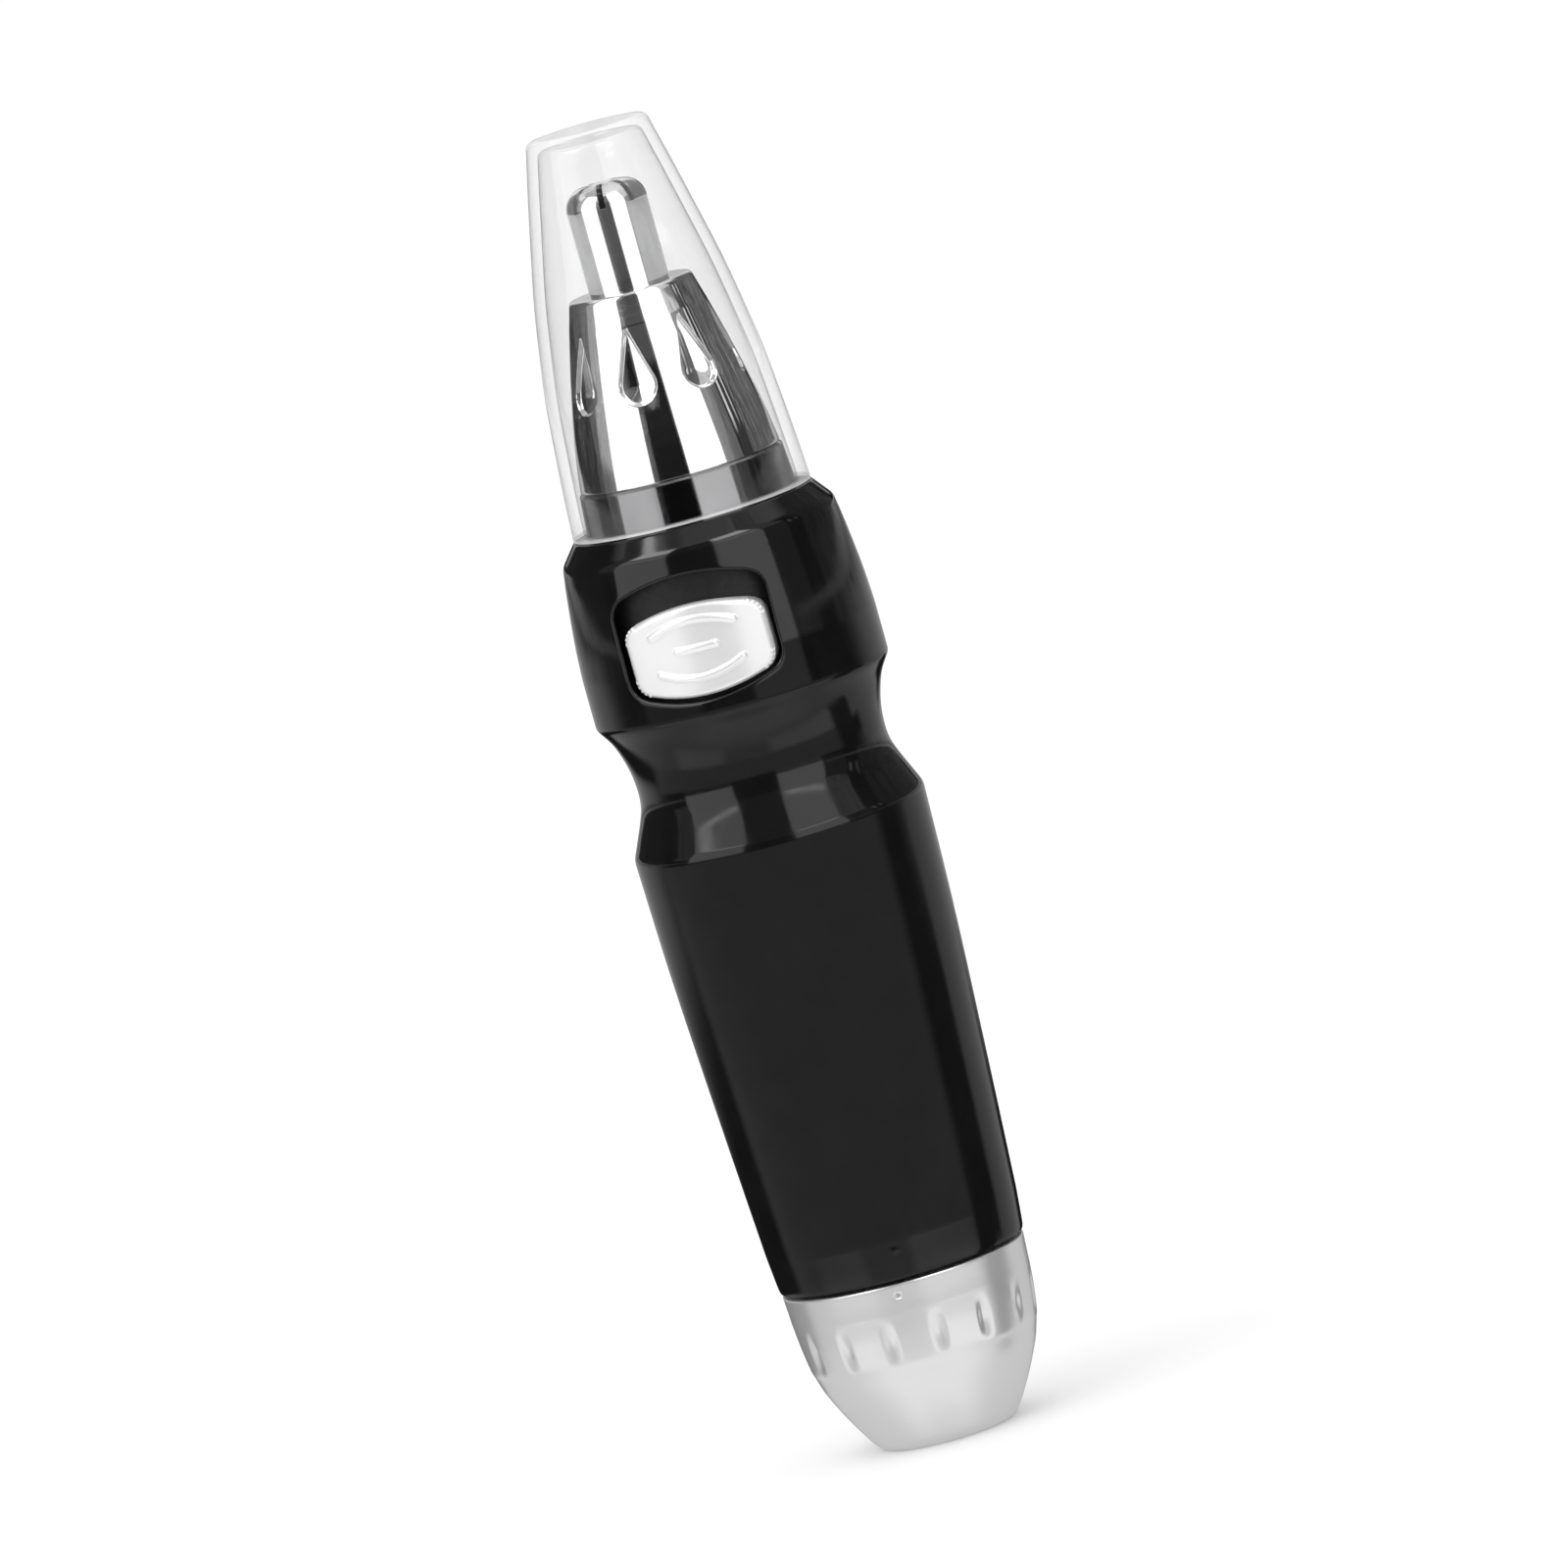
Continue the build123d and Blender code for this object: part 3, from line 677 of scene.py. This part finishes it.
button_ribs = (
    arc((-4.4, button_middle + 2.2), (0, button_middle + 3.25), (4.4, button_middle + 2.2),
        RIB_POINTS),
    line((-2.0, button_middle + 0.3), (2.0, button_middle + 0.3), 0.1),
    arc((-4.4, button_middle - 1.7), (0, button_middle - 2.75), (4.4, button_middle - 1.7),
        RIB_POINTS),
)


def nearest(points, places):
    """How far each point is from the nearest of some places."""
    places = np.array(places)
    return np.concatenate([
        np.linalg.norm(chunk[:, None, :] - places[None, :, :], axis=2).min(axis=1)
        for chunk in np.array_split(points, max(1, len(points) // 2000))
    ])


def switch_button():
    outline = bowed_outline(BUTTON_WIDTH, button_low, button_high, *BUTTON_CORNER)
    half = BUTTON_WIDTH / 2
    lower = outline[outline[:, 1] < button_middle]
    upper = outline[outline[:, 1] >= button_middle]
    lower = lower[np.argsort(lower[:, 0], kind="stable")]
    upper = upper[np.argsort(upper[:, 0], kind="stable")]
    # columns crowd towards the sides, where the corners turn, and rows towards both edges
    x = half * COLUMN_REACH * np.sin(np.linspace(-1, 1, BUTTON_COLUMNS) * math.pi / 2)
    even = np.linspace(0, 1, BUTTON_ROWS)
    share = ROW_CROWDING * (1 - np.cos(even * math.pi)) / 2 + (1 - ROW_CROWDING) * even
    bottom = np.interp(x, *side_curve(lower, lowest=True))
    top = np.interp(x, *side_curve(upper, lowest=False))
    z = bottom[None, :] + (top - bottom)[None, :] * share[:, None]
    flat = np.stack((np.repeat(x[None, :], len(share), axis=0), z), axis=2).reshape(-1, 2)
    inset = np.clip(nearest(flat, outline), 0, BUTTON_EDGE)
    fall = BUTTON_EDGE - np.sqrt(BUTTON_EDGE ** 2 - (BUTTON_EDGE - inset) ** 2)
    rise = np.zeros(len(flat))
    for rib in button_ribs:
        away = np.clip(nearest(flat, rib) / RIB_HALF_WIDTH, 0, 1)
        rise = np.maximum(rise, RIB_HEIGHT * (1 - away ** 2) ** 0.75)
    radius = BUTTON_RADIUS - fall + rise
    rows, columns = len(share), len(x)
    front = on_cylinder(flat, radius)
    behind = on_cylinder(flat, BUTTON_BACK)
    faces = grid_faces(rows, columns, wrap_columns=False)
    faces += grid_faces(rows, columns, rows * columns, wrap_columns=False)
    rim = [*range(columns), *(i * columns + columns - 1 for i in range(1, rows)),
           *range(rows * columns - 2, (rows - 1) * columns - 1, -1),
           *((i * columns) for i in range(rows - 2, 0, -1))]
    for a, b in zip(rim, rim[1:] + rim[:1]):
        faces.append((a, b, b + rows * columns, a + rows * columns))
    stem, stem_faces = stem_block(2 * rows * columns)
    make_piece("button", np.concatenate((front, behind, stem)), faces + stem_faces,
               satin_silver("button_silver", 0.42, 0.93), "switch",
               ["switch_button"], sharp=50)


def side_curve(points, lowest):
    """The lower or upper edge of an outline as two lists, across and up, one height per place."""
    order = np.round(points[:, 0], 4)
    places = np.unique(order)
    pick = np.min if lowest else np.max
    return places, np.array([pick(points[order == place, 1]) for place in places])


def stem_block(start):
    """The post behind the button that reaches in to the slider."""
    corners = [(x, y, button_middle + z) for x in (-STEM_HALF_WIDTH, STEM_HALF_WIDTH)
               for y in STEM_DEPTHS for z in STEM_HEIGHTS]
    quads = ((0, 1, 3, 2), (4, 6, 7, 5), (0, 4, 5, 1), (2, 3, 7, 6), (0, 2, 6, 4), (1, 5, 7, 3))
    return np.array(corners), [tuple(start + k for k in quad) for quad in quads]


switch_button()


# ---- battery cap ------------------------------------------------------------------------
DIMPLE_COUNT = 15
DIMPLE_TURN = -2.7           # degrees from the middle of the switch to the nearest dimple
DIMPLE_HEIGHT = 12.0
DIMPLE_HALF = (0.95, 2.2)    # half a dimple's width and height
DIMPLE_DEPTH = 0.3
DIMPLE_FADE = (1.05, 1.25)   # the shares of the half width and half height where a dimple ends
MARK_TURN = 7                # degrees round from the middle of the switch
MARK_HEIGHT = 16.8
MARK_DEPTH = 0.5
MARK_EDGE = (0.1, 0.4)       # from the mark's middle: where it starts to rise, and where it ends
CAP_SKIN = 11.3              # at the dimples only the outer skin is farther out than this
CAP_TURNS = 720


def cap_press(angles, radii, heights):
    """Oval dimples round the cap and a small sunk index mark above them."""
    pitch = 2 * math.pi / DIMPLE_COUNT
    first = math.radians(BUTTON_FACE + DIMPLE_TURN)
    aside = ((angles - first + pitch / 2) % pitch - pitch / 2) * radii
    wide = 1 - smooth_step(np.abs(aside) / DIMPLE_HALF[0], 0, DIMPLE_FADE[0])
    tall = 1 - smooth_step(np.abs(heights - DIMPLE_HEIGHT) / DIMPLE_HALF[1], 0, DIMPLE_FADE[1])
    mark_aside = (angles - math.radians(BUTTON_FACE + MARK_TURN)) * radii
    away = np.hypot(mark_aside, heights - MARK_HEIGHT)
    mark = MARK_DEPTH * (1 - smooth_step(away, *MARK_EDGE))
    return np.where(radii > CAP_SKIN, DIMPLE_DEPTH * wide * tall + mark, 0)


def battery_cap():
    outline = join(
        [
            line((0, 0), (6.9, 0), 2),
            spline([(6.9, 0), (7.85, 1.0), (9.65, 4.0), (11.1, 7.0), (11.75, 9.0)], 0.4),
            spline([(11.75, 9.0), (12.05, 10.0), (12.4, 12.5), (12.6, 15.0)], 0.1),
            spline([(12.6, 15.0), (12.66, 16.2), (12.78, cap_top)], 0.1),
            line((12.78, cap_top), (10.9, cap_top)),
            line((10.9, cap_top), (10.9, 10.0)),
            line((10.9, 10.0), (9.6, 10.0)),
            line((9.6, 10.0), (9.6, 8.5)),
            line((9.6, 8.5), (8.5, 4.0)),
            line((8.5, 4.0), (0, 4.0), 2),
        ],
        [0.35, 0, 0, 0.22, 0, 0, 0, 0, 0],
    )
    vertices, faces = turned(outline, CAP_TURNS, False, cap_press)
    make_piece("end_cap", vertices, faces, finishes["satin_silver"], "battery_cap",
               ["battery_cap"], sharp=40)


battery_cap()


# ---- head cone ----------------------------------------------------------------------------
RECESS_COUNT = 8
RECESS_MIDDLE = 114.9
RECESS_HALF_LENGTH = 4.0
RECESS_LOW_RADIUS = 2.05
RECESS_HIGH_RADIUS = 0.25
RECESS_DEPTH = 0.95
RIM_DEPTH = 0.4              # the steep part of the recess, just inside its outline
RIM_WIDTH = 0.28
HEIGHT_STRETCH = 1.03        # the cone's side is longer than its height by about this
PRESSED_FROM = 5.9           # both skins are farther out: both sink, and the wall stays as thick
CONE_TURNS = 960


def drop_distance(aside, along):
    """Signed distance to a drop: a wide round end below, tapering to a small one above."""
    span = 2 * RECESS_HALF_LENGTH - RECESS_LOW_RADIUS - RECESS_HIGH_RADIUS
    x = np.abs(aside)
    y = along + RECESS_HALF_LENGTH - RECESS_LOW_RADIUS
    b = (RECESS_LOW_RADIUS - RECESS_HIGH_RADIUS) / span
    a = math.sqrt(1 - b * b)
    k = -b * x + a * y
    low_end = np.hypot(x, y) - RECESS_LOW_RADIUS
    high_end = np.hypot(x, y - span) - RECESS_HIGH_RADIUS
    side = a * x + b * y - RECESS_LOW_RADIUS
    return np.where(k < 0, low_end, np.where(k > a * span, high_end, side))


def cone_press(angles, radii, heights):
    """Drop-shaped recesses round the cone, each with a steep rim and faces that meet in a V."""
    pitch = 2 * math.pi / RECESS_COUNT
    first = math.radians(BUTTON_FACE)
    aside = ((angles - first + pitch / 2) % pitch - pitch / 2) * radii
    inside = -drop_distance(aside, (heights - RECESS_MIDDLE) * HEIGHT_STRETCH)
    rim = RIM_DEPTH * smooth_step(inside, 0, RIM_WIDTH)
    valley = (RECESS_DEPTH - RIM_DEPTH) * np.clip(inside / RECESS_LOW_RADIUS, 0, 1)
    return np.where(radii > PRESSED_FROM, rim + valley, 0) * (heights > cone_low + 1)


def head_cone():
    outline = join(
        [
            line((7.6, 97.0), (8.9, 97.0)),
            line((8.9, 97.0), (8.9, cone_low), 2),
            line((8.9, cone_low), (10.5, cone_low)),
            spline([(10.5, cone_low), (10.15, 105.8), (9.75, 108.2), (9.25, 110.7)], 0.3),
            spline([(9.25, 110.7), (8.75, 113.0), (8.15, 115.6), (7.4, 118.6), (7.28, 119.1)],
                   0.08),
            spline([(7.28, 119.1), (6.85, 120.6), (6.4, cone_top)], 0.2),
            line((6.4, cone_top), (4.2, cone_top), 0.5),
            line((4.2, cone_top), (4.2, 120.3)),
            line((4.2, 120.3), (5.6, 120.3)),
            spline([(5.6, 120.3), (6.4, 117.4), (6.9, 115.6), (7.8, 111.5), (8.4, 108.2),
                    (8.8, 105.0)], 1),
            line((8.8, 105.0), (7.6, 104.0)),
            line((7.6, 104.0), (7.6, 97.0), 2),
        ],
        [0, 0, 0.05, 0, 0, 0.5, 0.1, 0, 0, 0, 0],
    )
    vertices, faces = turned(outline, CONE_TURNS, True, cone_press)
    make_piece("cone", vertices, faces, finishes["chrome_plate"], "head",
               ["head_cone"])


head_cone()


# ---- clear cap ------------------------------------------------------------------------------
CLEAR_WALL = 1.2
CLEAR_TURNS = 256


def clear_cap():
    side = [(12.52, clear_low), (12.3, 102.7), (11.95, 107.4), (11.48, 112.8), (10.78, 117.8),
            (9.92, 122.9), (8.85, 127.9), (7.72, 133.0), (6.55, 138.0), (6.35, clear_top)]
    inside = [(r - CLEAR_WALL, z) for r, z in side[:-2]] + [(5.4, clear_top - CLEAR_WALL)]
    outline = join(
        [
            spline(side, 0.5),
            line((6.35, clear_top), (0, clear_top), 0.5),
            line((0, clear_top - CLEAR_WALL), (5.4, clear_top - CLEAR_WALL), 0.5),
            spline(inside[::-1], 0.5),
            line(inside[0], side[0], 0.4),
        ],
        [0.9, 0, 0.7, 0.15],
    )
    vertices, faces = turned(outline, CLEAR_TURNS, True)
    make_piece("clear_cover", vertices, faces, finishes["clear_plastic"], "clear_cap",
               ["clear_cap"], sharp=50)


clear_cap()


# ---- studio -----------------------------------------------------------------------------------
# A white room for soft light, and round the trimmer a dark dome with bright soft-edged panels
# that only mirrors and clear plastic see. Bearings are degrees round from the camera, positive
# to its right. A later panel lies over the ones before it.
DOME_RADIUS = 0.50
DOME_CENTRE = Vector((0, 0, 0.07))
DOME_DARK = 0.012
DOME_COLUMNS = 721
DOME_ROWS = 361
STREAK_SCALE = (22, 22, 7)   # the dome's mottling runs up and down
ROOM_LIGHT = 1.2
LAMP_SIZE = 1.4
LAMP_POWER = 3.0
FLOOR_TURNS = 96
FLOOR_RINGS = (0.05, 0.15, 0.4, 1.0, 3.0, 8.0)
PANELS = (
    # bearings, elevations, brightness, softness of the sides and of the ends, mottling
    (-181, 181, 48, 91, 0.8, 1, 10, 0),
    (-181, -30, 60, 91, 0.45, 20, 6, 0),
    (-181, -93, -4, 46, 0.03, 3, 3, 1),
    (92, 152, -4, 46, 0.10, 3, 3, 1),
    (-181, -160, 9, 46, 0.7, 6, 6, 0),
    (160, 181, 9, 46, 0.7, 6, 6, 0),
    (-97, -80, 10, 66, 0.24, 2, 3, 0.5),
    (-181, -112, -11, -1, 0.5, 30, 6, 0),
    (-181, -80, 0.4, 2.3, 0.5, 8, 0.6, 0),
    (-80, -32, -2, 66, 1.4, 0.5, 3, 0),
    (-78, -34, 30.5, 33, 3.5, 4, 1.5, 0),
    (-78, -34, 45, 63, 6, 4, 2, 0),
    (-80, -32, -8, -3, 0.16, 6, 3, 0),
    (9, 53, -2, 66, 1.5, 0.5, 3, 0),
    (12, 50, 30.5, 33, 3.5, 4, 1.5, 0),
    (12, 50, 45, 63, 6, 4, 2, 0),
    (9, 53, -8, -3, 0.42, 4, 3, 0),
    (53, 76, -3, 25.5, 0.13, 0.5, 1, 0.1),
    (53, 76, 25.5, 66, 0.5, 1, 1, 0.5),
    (108, 181, -11, -1, 0.5, 30, 6, 0),
    (56, 181, 0.4, 2.3, 0.5, 8, 0.6, 0),
    (-32, 9, 25.5, 60, 0.09, 0.5, 1, 0),
    (79, 82, 12, 23, 0.8, 0.5, 3, 0.5),
    (87, 89, 12, 23, 0.6, 0.5, 3, 0.5),
    (-112, 78, -24, -7, 0.34, 12, 2, 0),
    (110, 152, -24, -7, 0.42, 8, 2, 0),
    (-181, 181, -40, -22, 0.48, 1, 5, 0),
    (-80, -34, -36, -22.5, 0.8, 12, 5, 0),
    (11, 76, -36, -22.5, 0.86, 12, 5, 0),
    (78, 101, -38, -18, 0.02, 3, 5, 0.5),
    (-181, 181, -91, -37, 0.5, 1, 10, 0),
    (-70, 66, -70, -37, 0.76, 60, 14, 0),
)


def dome_brightness(bearing, elevation):
    """Brightness and mottling of the dome at bearings and elevations in degrees."""
    bright = np.full_like(bearing, DOME_DARK)
    mottled = np.zeros_like(bearing)
    for left, right, low, high, level, side_soft, end_soft, mottling in PANELS:
        side, end = side_soft / 2, end_soft / 2
        cover = smooth_step(bearing, left - side, left + side)
        cover = cover * (1 - smooth_step(bearing, right - side, right + side))
        cover = cover * smooth_step(elevation, low - end, low + end)
        cover = cover * (1 - smooth_step(elevation, high - end, high + end))
        bright = bright * (1 - cover) + level * cover
        mottled = mottled * (1 - cover) + mottling * cover
    return bright, mottled


def dome_paint():
    """Light given off by the dome: its painted brightness, in streaks where it is mottled."""
    material = bpy.data.materials.new("studio_dome")
    material.use_nodes = True
    material.cycles.emission_sampling = "NONE"
    tree = material.node_tree
    nodes, link = tree.nodes, tree.links.new
    nodes.clear()
    painted = nodes.new("ShaderNodeAttribute")
    painted.attribute_name = "brightness"
    mottled = nodes.new("ShaderNodeAttribute")
    mottled.attribute_name = "mottling"
    place = nodes.new("ShaderNodeTexCoord")
    stretch = nodes.new("ShaderNodeMapping")
    stretch.inputs["Scale"].default_value = STREAK_SCALE
    streaks = nodes.new("ShaderNodeTexNoise")
    streaks.inputs["Detail"].default_value = 4
    streaks.inputs["Distortion"].default_value = 1.5
    swing = nodes.new("ShaderNodeMath")
    swing.operation = "MULTIPLY_ADD"
    swing.inputs[2].default_value = 1.0
    level = nodes.new("ShaderNodeMath")
    level.operation = "MULTIPLY"
    shader = nodes.new("ShaderNodeEmission")
    end = nodes.new("ShaderNodeOutputMaterial")
    link(place.outputs["Object"], stretch.inputs["Vector"])
    link(stretch.outputs["Vector"], streaks.inputs["Vector"])
    link(map_range(tree, streaks.outputs["Fac"], 0.38, 0.66, -0.85, 1.6), swing.inputs[0])
    link(mottled.outputs["Fac"], swing.inputs[1])
    link(swing.outputs[0], level.inputs[0])
    link(painted.outputs["Fac"], level.inputs[1])
    link(level.outputs[0], shader.inputs["Strength"])
    link(shader.outputs["Emission"], end.inputs["Surface"])
    return material


def make_dome():
    bearings = np.linspace(-180, 180, DOME_COLUMNS)
    elevations = np.linspace(-90, 90, DOME_ROWS)
    elevation, bearing = np.meshgrid(elevations, bearings, indexing="ij")
    a, e = np.radians(bearing), np.radians(elevation)
    level = np.cos(a)[..., None] * np.array(towards) + np.sin(a)[..., None] * np.array(across)
    away = level * np.cos(e)[..., None] + np.sin(e)[..., None] * np.array((0, 0, 1))
    places = np.array(DOME_CENTRE) + away * DOME_RADIUS
    mesh = bpy.data.meshes.new("studio_dome")
    faces = grid_faces(DOME_ROWS, DOME_COLUMNS, wrap_columns=False)
    mesh.from_pydata(places.reshape(-1, 3).tolist(), [], faces)
    for name, values in zip(("brightness", "mottling"), dome_brightness(bearing, elevation)):
        layer = mesh.attributes.new(name, "FLOAT", "POINT")
        layer.data.foreach_set("value", values.ravel())
    mesh.materials.append(dome_paint())
    dome = bpy.data.objects.new("studio_dome", mesh)
    bpy.context.scene.collection.objects.link(dome)
    dome.visible_camera = False
    dome.visible_diffuse = False
    dome.visible_shadow = False


def make_room():
    """Even white light from all round, and a large soft lamp above to the left."""
    world = bpy.data.worlds.new("studio")
    world.use_nodes = True
    world.node_tree.nodes["Background"].inputs["Color"].default_value = (1, 1, 1, 1)
    world.node_tree.nodes["Background"].inputs["Strength"].default_value = ROOM_LIGHT
    world.cycles_visibility.glossy = False
    bpy.context.scene.world = world
    key = bpy.data.lights.new("soft_key", "AREA")
    key.shape = "DISK"
    key.size = LAMP_SIZE
    key.energy = LAMP_POWER
    lamp = bpy.data.objects.new("soft_key", key)
    lamp.location = DOME_CENTRE + towards * 0.6 - across * 0.7 + Vector((0, 0, 0.9))
    lamp.rotation_euler = (DOME_CENTRE - lamp.location).to_track_quat("-Z", "Y").to_euler()
    lamp.visible_glossy = False
    lamp.visible_transmission = False
    bpy.context.scene.collection.objects.link(lamp)
    bpy.context.scene.view_settings.view_transform = "Standard"


def make_floor():
    """A pale matt floor that runs out past the frame. It goes with the battery cap, which stands
    on it, so that the cap and the cell stay in sight when they are pulled out."""
    angles = np.arange(FLOOR_TURNS) * 2 * math.pi / FLOOR_TURNS
    vertices = [(0, 0, 0)]
    for r in FLOOR_RINGS:
        vertices += [(r * math.cos(a), r * math.sin(a), 0) for a in angles]
    faces = [(0, 1 + j, 1 + (j + 1) % FLOOR_TURNS) for j in range(FLOOR_TURNS)]
    faces += grid_faces(len(FLOOR_RINGS), FLOOR_TURNS, 1)
    mesh = bpy.data.meshes.new("floor")
    mesh.from_pydata(vertices, [], faces)
    f = Finish("floor_paint", Roughness=0.9)
    f.tint(f.noise(0.4, 3), (0.90, 0.90, 0.90), (0.92, 0.92, 0.92))
    f.roughen(f.noise(0.05, 3), 0.85, 0.95)
    mesh.materials.append(f.material)
    floor = bpy.data.objects.new("floor", mesh)
    floor.visible_glossy = False
    bpy.context.scene.collection.objects.link(floor)
    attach(floor, "battery_cap")


make_dome()
make_room()
make_floor()
